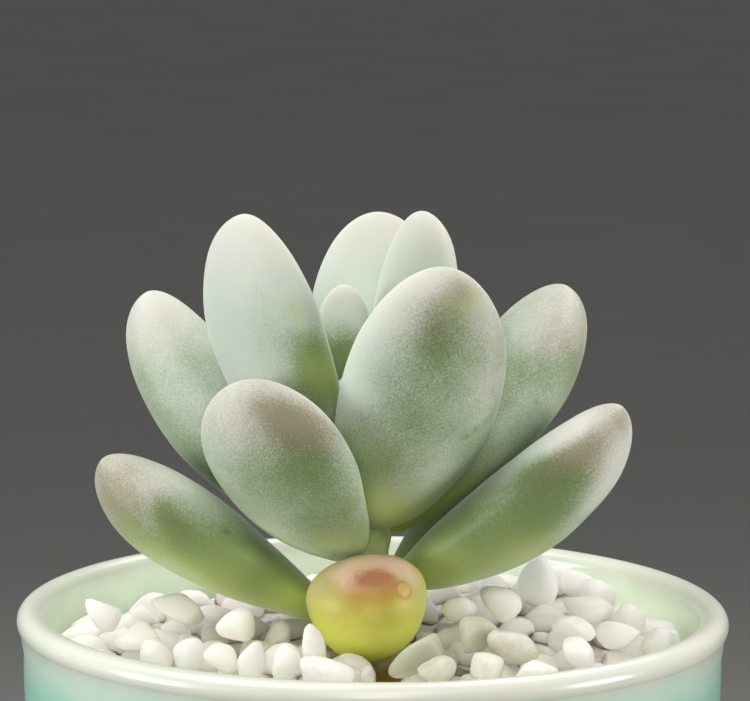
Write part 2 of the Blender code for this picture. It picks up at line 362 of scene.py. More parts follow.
def glaze_finish():
    look = Finish("mint_glaze")
    tree = look.tree
    height = height_on(tree)
    flat = node(tree, "ShaderNodeVectorMath", {"operation": "MULTIPLY"}, {0: place_on(tree), 1: (1, 1, 0)})
    radius = node(tree, "ShaderNodeVectorMath", {"operation": "LENGTH"}, {0: flat}, output="Value")
    run = height + (clouds(tree, 9 * MM, 3.0) - 0.5) * (2.5 * MM)
    deep = between(run, MINT_FROM, CREAM_FROM)
    colour = blend(deep, MINT, PALE_MINT)
    middle = RIM_RADIUS - WALL / 2 - (POT_HEIGHT - height) * math.tan(WALL_TAPER)
    inside = between(radius - middle, -1.0 * MM, 0.5 * MM, 1.0, 0.0)
    # Painted light: the inside is painted paler still, which lifts the shade that falls inside the pot.
    colour = blend(inside, colour, INSIDE_MINT_AND_PAINTED_LIGHT)
    run = run - inside * INSIDE_RUN
    colour = blend(between(run, CREAM_FROM, CREAM_FULL), colour, CREAM)
    pooled = between(clouds(tree, 14 * MM, 2.0), 0.35, 0.7, 0.0, 0.16)
    colour = blend(pooled, colour, MINT)
    specks = between(clouds(tree, 0.35 * MM, 1.0), 0.74, 0.8, 0.0, 0.35)
    colour = blend(specks, colour, IRON_SPECK)
    bare = between(height, *BARE_BAND, 1.0, 0.0)
    look.set(
        Base_Color=blend(bare, colour, BARE_CLAY),
        Roughness=between(bare + clouds(tree, 5 * MM) * 0.1, 0.0, 1.0, 0.26, 0.8),
        Coat_Weight=between(bare, 0.0, 1.0, 0.4, 0.0),
        Normal=bump(clouds(tree, 1.6 * MM, 2.0), 0.02 * MM, 0.5),
    )
    look.set(Coat_Roughness=0.16, IOR=1.5)
    return look


make_pot(glaze_finish())

# %% [markdown]
# ## Soil
#
# The soil fills the pot below the gravel and shows only through the drain hole. Its CAD shape is right,
# so it stays, and its material slot gets crumbly dark earth: clouds of two sizes, with a strong bump.

# %% Soil material
DARK_EARTH = (0.022, 0.015, 0.010)
DRY_EARTH = (0.085, 0.058, 0.038)
PERLITE = (0.55, 0.52, 0.46)


def soil_finish():
    look = Finish("soil")
    tree = look.tree
    crumbs = clouds(tree, 1.2 * MM, 5.0, 0.65)
    colour = blend(between(crumbs, 0.35, 0.65), DARK_EARTH, DRY_EARTH)
    grit = between(clouds(tree, 0.9 * MM, 0.0), 0.72, 0.76)
    look.set(
        Base_Color=blend(grit, colour, PERLITE),
        Roughness=between(crumbs, 0.3, 0.7, 0.98, 0.85),
        Normal=bump(crumbs, 0.6 * MM, 0.9),
    )
    return look


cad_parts["soil"].material_slots[0].material = soil_finish().material

# %% [markdown]
# ## One leaf
#
# A moonstone leaf is an egg-shaped bag of water: blunt at its tip, narrow at the stem, a little
# flatter above than below, and slightly sagging. It could be sculpted, or cut from a box with
# Subdivision Surface. Here a sphere from one bmesh operator is mapped on to the leaf's own lines,
# because then every vertex knows how far along, across and through the leaf it is, and paint can
# follow those lines.

# %% Stem line
STEM_FOOT = 48 * MM
STEM_TOP = 93 * MM
STEM_LEAN_FROM = 64 * MM
STEM_LEAN = 2.6 * MM
STEM_LEAN_CURVE = 1.4
STEM_RADIUS_LOW = 3.0 * MM
STEM_RADIUS_HIGH = 1.3 * MM
STEM_TAPER_CURVE = 2.5
SEAT_GAP = 0.3 * MM
UP = Vector((0.0, 0.0, 1.0))


def stem_line(height):
    """The middle of the stem at a height."""
    risen = max(0.0, height - STEM_LEAN_FROM) / (STEM_TOP - STEM_LEAN_FROM)
    return Vector((-STEM_LEAN * risen**STEM_LEAN_CURVE, 0.0, height))


def stem_radius(height):
    share = max(0.0, height - STEM_FOOT) / (STEM_TOP - STEM_FOOT)
    return STEM_RADIUS_LOW + (STEM_RADIUS_HIGH - STEM_RADIUS_LOW) * share**STEM_TAPER_CURVE


# %% Leaf frame
PLUMPNESS = 1.08
BELLY_SHARE = 0.6
STEEP_CLEAR = 0.25


def fullness(t, egg):
    round_part = 2 * math.sqrt(max(0.0, t * (1 - t)))
    return round_part**PLUMPNESS * (1 - egg + 2 * egg * t)


class Swell:
    """How full an egg is along its length, 1 where it is widest, with its blunt end at 1."""

    def __init__(self, egg):
        self.egg = egg
        self.widest = max(fullness(k / 50, egg) for k in range(51))

    def at(self, t):
        return fullness(t, self.egg) / self.widest


class Leaf:
    """One leaf's frame: where its narrow end sits on the stem and how its blade stands."""

    def __init__(self, azimuth, height, tilt, length, width, thickness, sag, roll, egg):
        turn = math.radians(azimuth)
        slope = math.radians(tilt)
        outward = Vector((math.cos(turn), math.sin(turn), 0.0))
        self.length, self.width, self.thickness = length * MM, width * MM, thickness * MM
        self.sag = sag * MM
        self.swell = Swell(egg)
        steep = self.thickness * STEEP_CLEAR * (1 - math.cos(slope)) ** 2
        self.base = stem_line(height * MM) + outward * (stem_radius(height * MM) + SEAT_GAP + steep)
        self.along = outward * math.cos(slope) + UP * math.sin(slope)
        twist = Matrix.Rotation(math.radians(roll), 3, self.along)
        self.side = twist @ UP.cross(outward)
        self.face = twist @ (UP * math.cos(slope) - outward * math.sin(slope))

    def place(self, across, through, t):
        """The point across (-1 to 1) and through (-1 to 1) the blade at a share t of its length."""
        bend = math.atan2(-4 * self.sag * (1 - 2 * t), self.length)
        middle = self.base + self.along * (self.length * t) - self.face * (4 * self.sag * t * (1 - t))
        face = self.face * math.cos(bend) - self.along * math.sin(bend)
        half_width = self.width / 2 * self.swell.at(t)
        half_thick = self.thickness * self.swell.at(t)
        half_thick *= BELLY_SHARE if through < 0 else 1 - BELLY_SHARE
        return middle + self.side * (across * half_width) + face * (through * half_thick)

    def spot(self, around, t):
        """The point on the skin at an angle round the leaf, 270 in the middle of its underside."""
        turn = math.radians(around)
        return self.place(math.cos(turn), math.sin(turn), t)


# %% [markdown]
# ## The rosette
#
# Each new leaf of a rosette comes about 137.5 degrees round the stem from the one before, which keeps
# the leaves out of each other's light. That is a rule of thumb: some young leaves here stray from it,
# as the photograph shows. The list has them from the lowest up, as the CAD model does: azimuth, height
# of the base, tilt above level, length, width, thickness, sag and roll, in degrees and millimetres,
# and how egg-shaped the outline is.

# %% Leaf measures
LEAVES = {
    "leaf_01": (-94, 68.4, 50, 14.2, 13.4, 11.2, 1.0, 12, 0.38),
    "leaf_02": (47, 71.8, 42, 24.0, 9.8, 5.8, 1.0, 0, 0.2),
    "leaf_03": (190, 69.8, 34.8, 33.4, 16.2, 9.8, 0.0, 0, 0.48),
    "leaf_04": (-18, 75.0, 38.8, 33.6, 17.6, 10.4, 1.5, 0, 0.2),
    "leaf_05": (120, 76.8, 32, 25, 13.0, 7.0, 1.5, 0, 0.2),
    "leaf_06": (-124, 77.8, 51, 29, 18.6, 7.6, 2.7, 3, 0.36),
    "leaf_07": (16, 80.0, 53.2, 34.4, 17.4, 9.5, 1.4, 5, 0.4),
    "leaf_08": (162, 80.2, 48.2, 34.9, 12.8, 11.6, 2.0, 0, 0.2),
    "leaf_09": (-63, 81.6, 65, 34, 19.5, 10.0, 2.5, 0, 0.2),
    "leaf_10": (86, 83.0, 39, 24, 13.0, 6.4, 2.0, 0, 0.2),
    "leaf_11": (-141.5, 84.6, 68.5, 35.2, 18.9, 7.8, 2.0, 0, 0.2),
    "leaf_12": (-10, 86.0, 60, 15.5, 5.8, 4.3, 1.0, 0, 0.2),
    "leaf_13": (83, 87.4, 58.5, 31.5, 14.8, 6.0, 2.5, 0, 0.3),
    "leaf_14": (-100, 89.0, 76, 10, 4.2, 3.5, 0.5, 0, 0.2),
    "leaf_15": (38, 90.3, 74.5, 26.5, 12.6, 5.2, 1.5, 0, 0.3),
    "leaf_16": (106, 91.8, 84.5, 16, 6.8, 4.8, 0.5, 0, 0.2),
    "leaf_17": (-15, 92.4, 76, 7, 3.6, 2.8, 0.3, 0, 0.2),
    "leaf_18": (200, 92.6, 82, 6, 2.8, 2.2, 0.3, 0, 0.2),
}
leaves = {name: Leaf(*measures) for name, measures in LEAVES.items()}
print("leaves:", len(leaves))

# %% [markdown]
# ## Where the bloom is rubbed off
#
# Bloom never grows back, so every touch leaves a green mark. It is thickest at the tip, along the
# edges and on the upper side, and thin at the base. That much is a rule, and comes from where a
# vertex is. The rubbed patches aren't, so they are dabbed on one by one: each dab has a kind of paint,
# an angle round the leaf, a share of its length, a radius in millimetres and a strength. DUST makes a
# whole leaf more or less powdery. SCARS, further down, are two old wounds that stand proud of the skin
# or bite into it: an angle, a share of the length, a radius and a height in millimetres.

# %% Dabs of paint
# Some dabs lighten a leaf where it lies in shade, which is painted light; they are marked where they
# stand.
DABS = {
    "leaf_01": [
        ("blush", 232, 0.99, 2.0, 1.1),
        ("blush", 218, 0.97, 1.6, 0.4),
        ("blush", 300, 0.99, 2.0, 0.6),
        ("blush", 34, 0.98, 2.4, 0.7),
        ("blush", 356, 0.95, 2.2, 0.7),
        ("blush", 352, 0.87, 2.2, 0.35),
        ("bloom", 345, 0.86, 2.0, 0.8),
        ("worn", 285, 0.968, 1.5, 0.7),
        ("worn", 255, 0.965, 1.6, 0.5),
        ("worn", 238, 0.975, 1.5, 0.4),
        ("worn", 310, 0.955, 1.6, 0.6),
        ("worn", 322, 0.93, 1.5, 0.5),
        ("worn", 300, 0.99, 1.6, 0.3),
        ("yellow", 276, 0.945, 2.4, 0.75),
        ("yellow", 255, 0.93, 2.2, 0.45),
        ("yellow", 290, 0.92, 2.0, 0.45),
        ("yellow", 300, 0.91, 1.3, 0.4),
        ("yellow", 230, 0.90, 3.0, 0.35),
        ("bloom", 168, 0.93, 2.8, 1.0),
        ("bloom", 183, 0.82, 1.8, 0.4),
        ("bloom", 330, 0.69, 2.0, 0.6),
        ("yellow", 318, 0.88, 0.75, 6.0),
    ],
    "leaf_03": [
        ("bloom", 60, 0.86, 5.0, 0.3),
        ("bloom", 60, 0.70, 5.0, 0.25),
        ("bloom", 32, 0.42, 3.5, 0.2),
        ("blush", 20, 0.95, 6.0, 0.6),
        ("bloom", 10, 0.96, 5.0, -0.35),
        ("worn", 5, 0.79, 1.3, 0.35),
        ("worn", 358, 0.75, 1.6, 0.4),
        ("worn", 351, 0.70, 1.8, 0.35),
        ("worn", 343, 0.64, 2.2, 0.35),
        ("bloom", 357, 0.51, 2.6, -0.5),
        ("bloom", 358, 0.42, 2.8, -0.55),
        ("bloom", 355, 0.34, 2.6, -0.4),
        ("yellow", 356, 0.44, 4.0, 0.15),
        ("yellow", 302, 0.70, 4.0, 0.5),
        ("yellow", 300, 0.55, 4.0, 0.7),
        ("yellow", 290, 0.38, 4.0, 0.8),
        ("bloom", 300, 0.60, 4.0, 0.25),
        ("yellow", 340, 0.22, 4.0, 0.7),
        ("yellow", 318, 0.90, 3.0, 0.4),
        ("worn", 30, 0.56, 0.35, 1.4),
    ],
    "leaf_04": [
        ("bloom", 134, 0.89, 3.2, 0.45),
        ("bloom", 130, 0.79, 3.0, 0.45),
        ("bloom", 122, 0.70, 3.0, 0.4),
        ("bloom", 140, 0.60, 2.6, 0.2),
        ("blush", 200, 0.98, 4.0, 0.9),
        ("blush", 140, 0.88, 3.5, 0.35),
        ("bloom", 190, 0.98, 3.0, -0.25),
        ("worn", 190, 0.92, 1.8, 0.5),
        ("blush", 189, 0.90, 3.0, 0.7),
        ("worn", 186, 0.86, 1.9, 0.6),
        ("worn", 180, 0.80, 2.0, 0.6),
        ("worn", 174, 0.74, 2.0, 0.5),
        ("worn", 168, 0.67, 2.2, 0.35),
        ("worn", 200, 0.70, 4.0, 0.25),
        ("worn", 196, 0.58, 4.0, 0.2),
        ("bloom", 260, 0.92, 3.2, 0.5),
        ("bloom", 258, 0.83, 3.2, 0.5),
        ("bloom", 246, 0.75, 3.0, 0.45),
        ("bloom", 250, 0.62, 3.4, 0.35),
        ("yellow", 240, 0.48, 4.0, 0.6),
        ("yellow", 226, 0.30, 4.0, 0.5),
        ("bloom", 235, 0.42, 3.5, 0.2),
    ],
    "leaf_06": [
        ("blush", 268, 0.97, 4.5, 0.55),
        ("blush", 242, 0.95, 3.5, 0.4),
        ("blush", 334, 0.94, 3.5, 0.5),
        ("blush", 355, 0.82, 3.5, 0.45),
        ("worn", 284, 0.935, 1.9, 0.35),
        ("worn", 300, 0.91, 2.4, 0.5),
        ("worn", 315, 0.89, 2.4, 0.45),
        ("worn", 327, 0.87, 2.6, 0.45),
        ("worn", 334, 0.82, 2.8, 0.4),
        ("worn", 302, 0.79, 3.6, 0.3),
        ("worn", 304, 0.67, 4.0, 0.25),
        ("bloom", 232, 0.72, 3.5, 0.2),
        # These three dabs lighten the base: partly its real yellowing, partly painted bounce light from
        # the white stones.
        ("bloom", 250, 0.38, 4.5, 0.35),
        ("bloom", 262, 0.24, 3.5, 0.3),
        ("yellow", 248, 0.28, 4.0, 0.45),
        ("yellow", 303, 0.34, 2.2, 0.5),
        ("worn", 303, 0.35, 1.6, 0.5),
    ],
    "leaf_07": [
        ("bloom", 110, 0.80, 5.0, 0.2),
        ("blush", 160, 0.87, 4.0, 0.6),
        ("bloom", 211, 0.63, 3.0, 0.25),
        ("bloom", 186, 0.52, 5.0, 0.3),
        # These two dabs lighten the leaf low down, where it lies in shade: painted light.
        ("yellow", 192, 0.32, 5.0, 0.3),
        ("bloom", 192, 0.36, 5.0, 0.3),
    ],
    "leaf_08": [
        ("yellow", 4, 0.85, 3.5, 0.3),
        ("blush", 4, 0.90, 3.0, 0.3),
        ("bloom", 350, 0.60, 4.0, 0.15),
    ],
    "leaf_09": [
        ("bloom", 213, 0.97, 4.0, 0.4),
        ("bloom", 197, 0.82, 4.5, 0.35),
        ("bloom", 195, 0.62, 4.5, 0.45),
        ("bloom", 306, 0.72, 4.0, 0.15),
        ("bloom", 300, 0.60, 4.5, 0.2),
        ("blush", 306, 0.68, 4.5, 0.35),
        ("yellow", 274, 0.96, 2.0, 0.8),
        ("yellow", 300, 0.93, 2.2, 0.8),
        ("blush", 290, 0.95, 2.6, 0.4),
        ("bloom", 290, 0.95, 2.2, -0.35),
        ("worn", 262, 0.90, 3.2, 0.5),
        ("worn", 252, 0.84, 3.6, 0.4),
        ("worn", 262, 0.76, 4.0, 0.15),
        ("bloom", 280, 0.38, 5.5, 0.35),
        ("bloom", 262, 0.30, 4.5, 0.25),
        ("yellow", 232, 0.22, 4.0, 0.6),
        ("yellow", 214, 0.45, 3.0, 0.3),
        ("worn", 291, 0.50, 0.5, 0.4),
        ("worn", 300, 0.515, 0.5, 0.5),
        ("worn", 309, 0.53, 0.5, 0.5),
        ("worn", 317, 0.545, 0.5, 0.4),
    ],
    "leaf_11": [
        ("bloom", 252, 0.70, 6.0, 0.3),
        ("bloom", 245, 0.52, 6.0, 0.3),
        ("yellow", 338, 0.77, 1.5, 0.8),
        ("yellow", 341, 0.71, 1.5, 0.8),
        ("worn", 339, 0.74, 1.1, 0.5),
        ("bloom", 344, 0.63, 2.4, -0.3),
        ("bloom", 348, 0.56, 2.8, -0.6),
        ("bloom", 350, 0.46, 3.6, -0.5),
        ("yellow", 350, 0.52, 4.0, 0.4),
    ],
    "leaf_16": [("bloom", 80, 0.46, 4.0, -1.1)],
}
DUST = {
    "leaf_02": -0.6, "leaf_03": -0.36, "leaf_04": -0.34, "leaf_06": -0.03, "leaf_07": -0.3, "leaf_08": 0.0,
    "leaf_09": -0.08, "leaf_11": 0.32, "leaf_13": 1.0, "leaf_15": 1.0, "leaf_16": 0.4,
}
print("dabs:", sum(len(dabs) for dabs in DABS.values()))

# %% Painting rule
PAINTS = ("bloom", "yellow", "blush", "worn")
BARE_BLOOM, LENGTH_BLOOM, TOP_BLOOM, TIP_BLOOM, EDGE_BLOOM = 0.12, 0.42, 0.2, 0.3, 0.07
BASE_YELLOW, TIP_BLUSH = 0.8, 0.5


def step(low, high, value):
    """Rises smoothly from 0 at low to 1 at high."""
    share = min(1.0, max(0.0, (value - low) / (high - low)))
    return share * share * (3 - 2 * share)


def rule_paint(across, through, t):
    """What every leaf has of each paint before it is touched."""
    tip = step(0.66, 0.98, t)
    bloom = BARE_BLOOM + LENGTH_BLOOM * step(0.1, 0.7, t) + TOP_BLOOM * step(-0.7, 0.6, through)
    bloom += TIP_BLOOM * tip + EDGE_BLOOM * step(0.8, 1.0, abs(across))
    yellow = BASE_YELLOW * (1 - step(0.0, 0.4, t))
    return {"bloom": bloom, "yellow": yellow, "blush": TIP_BLUSH * tip, "worn": 0.0}


def paint_at(name, leaf, spot, across, through, t):
    """The rule's paint with the leaf's own dabs on top."""
    paint = rule_paint(across, through, t)
    paint["bloom"] += DUST.get(name, 0.0)
    for kind, around, dab_t, radius, strength in DABS.get(name, ()):
        reach = (spot - leaf.spot(around, dab_t)).length / (radius * MM)
        paint[kind] += strength * math.exp(-reach * reach)
    return paint


# %% Leaf mesh
LEAF_ROUND, LEAF_RINGS = 112, 84
SMALL_LEAF = 12 * MM
DENT_SIZE, DENT_DEPTH = 7 * MM, 0.22 * MM
AT_POLE = 0.0001
SCARS = {"leaf_01": [(318, 0.88, 0.8, 0.15)], "leaf_03": [(30, 0.56, 0.5, -0.15)]}


def rise_at(name, leaf, spot):
    """How far a scar stands proud of the skin there, or bites into it."""
    rise = 0.0
    for around, scar_t, radius, height in SCARS.get(name, ()):
        reach = (spot - leaf.spot(around, scar_t)).length / (radius * MM)
        rise += height * MM * math.exp(-(reach**4))
    return rise


def leaf_shape(name, leaf):
    """A sphere mapped on to a leaf's lines, with slight dents and its paint on the vertices."""
    share = 1.0 if leaf.length > SMALL_LEAF else 0.5
    shape = bmesh.new()
    bmesh.ops.create_uvsphere(
        shape, u_segments=int(LEAF_ROUND * share), v_segments=int(LEAF_RINGS * share), radius=1.0
    )
    layers = {paint: shape.verts.layers.float.new(paint) for paint in (*PAINTS, "along")}
    for corner in shape.verts:
        ring = math.hypot(corner.co.x, corner.co.y)
        across, through = (corner.co.x / ring, corner.co.y / ring) if ring > AT_POLE else (0.0, 0.0)
        t = (corner.co.z + 1) / 2
        corner.co = leaf.place(across, through, t)
        corner[layers["along"]] = t
        for paint, amount in paint_at(name, leaf, corner.co, across, through, t).items():
            corner[layers[paint]] = amount
    bmesh.ops.recalc_face_normals(shape, faces=shape.faces)
    shape.normal_update()
    moves = [rise_at(name, leaf, corner.co) for corner in shape.verts]
    for corner, rise in zip(shape.verts, moves):
        corner.co += corner.normal * (rise + share * DENT_DEPTH * noise.noise(corner.co / DENT_SIZE))
    return shape


# %% [markdown]
# ## Leaf skin
#
# Three colours lie over each other: the flesh, green and turning yellow towards the base, a dull
# brown blush where the leaf saw sun, and the bloom on top, warmer over the blush. The bloom is powder,
# so it thins as grains and not as a fade. A fine noise added to the painted amount, and then a soft
# threshold, gives that, and a few grains lie even on rubbed skin. Sheen makes the powder brighten at a
# grazing angle, and a little light passes under the skin.

# %% Leaf material
FLESH = (0.155, 0.225, 0.075)
YELLOW_FLESH = (0.48, 0.58, 0.17)
OLIVE = (0.13, 0.135, 0.06)
BLUSH = (0.26, 0.232, 0.145)
BLOOM_COOL = (0.55, 0.61, 0.53)
BLOOM_WARM = (0.61, 0.603, 0.55)
GRAIN = 0.2 * MM
PATCH = 4 * MM


def leaf_finish():
    look = Finish("leaf_bloom")
    tree = look.tree
    worn = painted(tree, "worn")
    blush = painted(tree, "blush")
    grain = clouds(tree, GRAIN, 1.5, 0.6)
    patch = clouds(tree, PATCH, 4.0, 0.6)
    flesh = blend(painted(tree, "yellow"), FLESH, YELLOW_FLESH)
    flesh = blend(between(worn, 0.0, 1.0, 0.0, 0.5), flesh, OLIVE)
    flesh = blend(between(blush + (patch - 0.5) * 0.6 + (grain - 0.5) * 0.6, 0.1, 1.0), flesh, BLUSH)
    powder = painted(tree, "bloom") - worn * 0.6 + (grain - 0.5) * 0.7 + (patch - 0.5) * 0.5
    powder = between(powder, 0.12, 1.1) + between(grain, 0.45, 0.8, 0.0, 0.1)
    bloom = blend(between(blush, 0.05, 0.5), BLOOM_COOL, BLOOM_WARM)
    look.set(
        Base_Color=blend(powder, flesh, bloom),
        Roughness=between(powder, 0.0, 1.0, 0.5, 0.82),
        Normal=bump(grain * 0.5 + patch, 0.05 * MM, 0.35),
    )
    look.set(Sheen_Weight=0.35, Sheen_Roughness=0.45, Sheen_Tint=(0.9, 1.0, 0.9, 1.0), IOR=1.4)
    look.set(Subsurface_Weight=0.4, Subsurface_Scale=3 * MM, Subsurface_Radius=(0.8, 1.0, 0.35))
    return look


# %% [markdown]
# ## The old leaf
#
# The lowest leaf is being drained by the plant. It has lost most of its bloom, has turned yellow and
# lets light through, and its tip has flushed pink and rust. The same four paints mean other things
# here: blush is the pink, which on top of the tip is also a painted highlight, worn the rust, bloom
# the thin grey film that is left, and yellow the gold, or a dry scar where it is above 2. The light
# that comes through shows most low down, so the colour there is brighter, by height.

# %% Old leaf material
OLD_GREEN = (0.62, 0.65, 0.10)
OLD_YELLOW = (0.50, 0.45, 0.065)
OLD_GLOW = (0.74, 0.78, 0.15)
OLD_GLOW_BAND = (70.5 * MM, 74.5 * MM)
OLD_GOLD = (0.47, 0.27, 0.04)
OLD_RUST = (0.44, 0.17, 0.065)
OLD_PINK_AND_HIGHLIGHT = (0.86, 0.58, 0.46)
OLD_FILM = (0.45, 0.42, 0.29)
OLD_SCAR = (0.60, 0.43, 0.17)
OLD_PATCH = 2.2 * MM


def old_leaf_finish():
    look = Finish("old_leaf")
    tree = look.tree
    grain = clouds(tree, GRAIN, 1.5, 0.6)
    patch = clouds(tree, OLD_PATCH, 4.0, 0.6)
    cloudy = (patch - 0.5) * 0.9
    dusty = (grain - 0.5) * 0.5
    ripe = between(painted(tree, "along") + cloudy * 0.2, 0.45, 0.95)
    glow = between(height_on(tree), *OLD_GLOW_BAND, 0.85, 0.0)
    film = between(painted(tree, "bloom") + dusty + cloudy * 0.4, 0.35, 1.7, 0.0, 0.5)
    gold = between(painted(tree, "yellow") + cloudy, 0.2, 1.3, 0.0, 0.9)
    # The pink flush of the tip, which on its top is also a painted highlight.
    pink_and_highlight = between(painted(tree, "blush") + dusty + cloudy, 0.35, 1.4, 0.0, 0.8)
    rust = between(painted(tree, "worn") + cloudy * 1.8 + dusty * 1.4, 0.2, 1.3, 0.0, 0.85)
    scar = between(painted(tree, "yellow") + dusty, 2.2, 2.7, 0.0, 0.85)
    colour = blend(ripe, OLD_GREEN, OLD_YELLOW)
    for mask, tone in ((glow, OLD_GLOW), (film, OLD_FILM), (gold, OLD_GOLD)):
        colour = blend(mask, colour, tone)
    for mask, tone in ((pink_and_highlight, OLD_PINK_AND_HIGHLIGHT), (rust, OLD_RUST), (scar, OLD_SCAR)):
        colour = blend(mask, colour, tone)
    look.set(
        Base_Color=colour,
        Roughness=between(film, 0.0, 1.0, 0.42, 0.7),
        Normal=bump(grain * 0.3 + patch, 0.06 * MM, 0.4),
    )
    look.set(Subsurface_Weight=0.6, Subsurface_Scale=3 * MM, Subsurface_Radius=(1.0, 0.8, 0.2), IOR=1.4)
    return look


# %% Make the leaves
skin, old_skin = leaf_finish(), old_leaf_finish()
for name, leaf in leaves.items():
    if name == "leaf_01":
        piece_from(leaf_shape(name, leaf), name, old_skin)
    else:
        piece_from(leaf_shape(name, leaf), name, skin)

# %% [markdown]
# ## Stem
#
# The stem is short and mostly hidden, and each leaf sits on a small cushion of it. It could be a curve
# with a bevel. Here it is turned from a profile, as the pot is, then leaned over to follow its line and
# pushed out at every leaf's base. Its bark is thin, so green shows between streaks of tan.

# %% Stem
STEM_STEPS = 64
STEM_RING = 0.5 * MM
CUSHION_WIDTH = 1.7 * MM
CUSHION_BITE = 0.35 * MM
STEM_SAMPLES = 40
STEM_CROWN = 0.3 * MM


def stem_profile():
    """The stem's outline from a slight crown at its top down to its foot."""
    heights = [STEM_TOP - (STEM_TOP - STEM_FOOT) * k / STEM_SAMPLES for k in range(STEM_SAMPLES + 1)]
    side = [(stem_radius(height), height) for height in heights]
    return finer([(0.0, STEM_TOP + STEM_CROWN), *side, (0.0, STEM_FOOT)], STEM_RING)


def make_stem(finish):
    shape = bmesh.new()
    turn_profile(shape, stem_profile(), STEM_STEPS)
    for corner in shape.verts:
        corner.co += stem_line(corner.co.z) - Vector((0.0, 0.0, corner.co.z))
    for corner in shape.verts:
        middle = stem_line(corner.co.z)
        outward = corner.co - middle
        if outward.length < MERGE_WITHIN:
            continue
        outward.normalize()
        for leaf in leaves.values():
            seat = stem_line(leaf.base.z)
            reach = (leaf.base - seat).length - stem_radius(leaf.base.z) + CUSHION_BITE
            away = (corner.co - leaf.base).length / CUSHION_WIDTH
            corner.co += outward * (reach * math.exp(-away * away))
    piece_from(shape, "stem", finish)


# %% Stem material
BARK_GREEN = (0.70, 0.86, 0.38)
BARK_TAN = (0.64, 0.65, 0.36)


def stem_finish():
    look = Finish("stem")
    tree = look.tree
    streaks = clouds(tree, 1.8 * MM, 4.0, 0.6)
    look.set(
        Base_Color=blend(between(streaks, 0.35, 0.7), BARK_GREEN, BARK_TAN),
        Roughness=between(streaks, 0.2, 0.8, 0.6, 0.85),
        Normal=bump(streaks, 0.2 * MM, 0.5),
    )
    return look


make_stem(stem_finish())

# %% [markdown]
# ## Gravel
#
# The top dressing is crushed and tumbled white stone over a bed of its own chips and dust. One could
# simulate the stones falling, which is slow and hard to steer. Here the bed is turned from a profile
# and roughened by noise, and the stones that the photograph shows are placed one by one. The rest are
# thrown at random and kept where they don't crowd, in two layers that follow the bed's height, and
# pressed down where a leaf lies. Below and in front of the old leaf a small pit stays open. Each pebble
# is an icosphere of 80 faces, made lumpy, cut by a few blunt flats and rounded by one level of
# Subdivision Surface, so hundreds of them stay light.

# %% Bed height
SOIL_TOP = 62 * MM
BED_EDGE = 65.8 * MM
BED_RISE = 2.6 * MM
HEAPS = ((19 * MM, 19 * MM, 3.2 * MM, 11 * MM), (4 * MM, -27 * MM, 2.4 * MM, 12 * MM))


def bed_height(x, y):
    """How high the middle of a pebble lies at a place in the pot."""
    share = (x * x + y * y) / inner_radius(SOIL_TOP) ** 2
    height = BED_EDGE + BED_RISE * (1 - share)
    for heap_x, heap_y, rise, spread in HEAPS:
        height += rise * math.exp(-((x - heap_x) ** 2 + (y - heap_y) ** 2) / spread**2)
    return height


print("height of the bed in mm, middle and edge:", round((BED_EDGE + BED_RISE) / MM, 1), BED_EDGE / MM)

# %% [markdown]
# ## Stones seen in the photograph
#
# Each row is one stone: where its middle is, its half length, half depth and half height, all in
# millimetres, and how far it leans to one side, in degrees. An open spot is a place and a radius.

# %% Placed pebbles
PLACED_PEBBLES = (
    (-4.5, -29.5, 70.6, 4.3, 3.2, 2.6, 5), (-0.4, -28.6, 70.4, 1.7, 1.3, 1.0, 80),
    (4.8, -25.5, 72.0, 5.0, 2.8, 1.9, -38), (6.8, -30.0, 71.0, 2.8, 2.4, 2.1, -8),
    (11.8, -29.5, 71.4, 2.9, 2.4, 2.5, 62), (17.0, -29.0, 70.9, 3.2, 2.4, 2.1, 5),
    (11.1, -19.5, 72.8, 3.0, 2.8, 2.7, 30), (15.3, -21.0, 72.1, 3.6, 3.0, 2.5, 12),
    (22.2, -22.0, 71.2, 2.9, 2.6, 2.3, 10), (21.9, -12.0, 72.2, 3.0, 2.8, 2.4, 20),
    (27.2, -10.0, 70.8, 2.9, 2.6, 2.2, 15), (31.7, -9.0, 69.6, 3.1, 2.4, 2.0, 18),
    (19.2, 12.0, 72.0, 3.6, 3.0, 2.8, 75), (24.0, 3.0, 70.8, 3.5, 2.8, 2.2, 8),
    (28.5, 1.0, 70.2, 2.8, 2.5, 2.1, 16), (-29.8, -6.0, 71.6, 3.4, 2.4, 2.2, 62),
    (-21.4, -4.0, 72.0, 4.1, 3.0, 2.2, 2), (-25.6, -12.0, 70.7, 3.8, 2.8, 2.3, 6),
    (-19.9, -21.5, 70.5, 3.1, 2.3, 2.1, 84), (-12.9, -25.5, 71.3, 3.2, 2.0, 1.8, 88),
    (-14.8, -13.0, 72.2, 3.0, 2.6, 2.4, 20), (-9.3, -27.0, 71.1, 2.8, 2.1, 2.0, 75),
    (-6.7, -21.5, 72.0, 3.0, 2.2, 2.0, 70), (-16.1, -24.0, 70.8, 2.4, 2.2, 2.1, 40),
    (-23.9, -19.0, 69.9, 2.7, 2.4, 2.1, 25), (9.5, -8.0, 73.2, 2.6, 2.3, 2.2, 10),
    (13.8, -4.0, 73.0, 3.1, 2.6, 2.3, 15),
)
LEFT_OPEN = (
    (1.0, -10.5, 3.0),
    (1.0, -14.5, 2.8),
    (1.0, -19.0, 2.6),
    (1.0, -23.0, 2.4),
    (1.1, -27.5, 2.4),
)
print("stones placed by hand:", len(PLACED_PEBBLES), "open spots:", len(LEFT_OPEN))

# %% Scattering
PEBBLE_TRIES = 3000
PLACED_CLEAR = 3.0 * MM
OPEN_MARGIN = 2.0


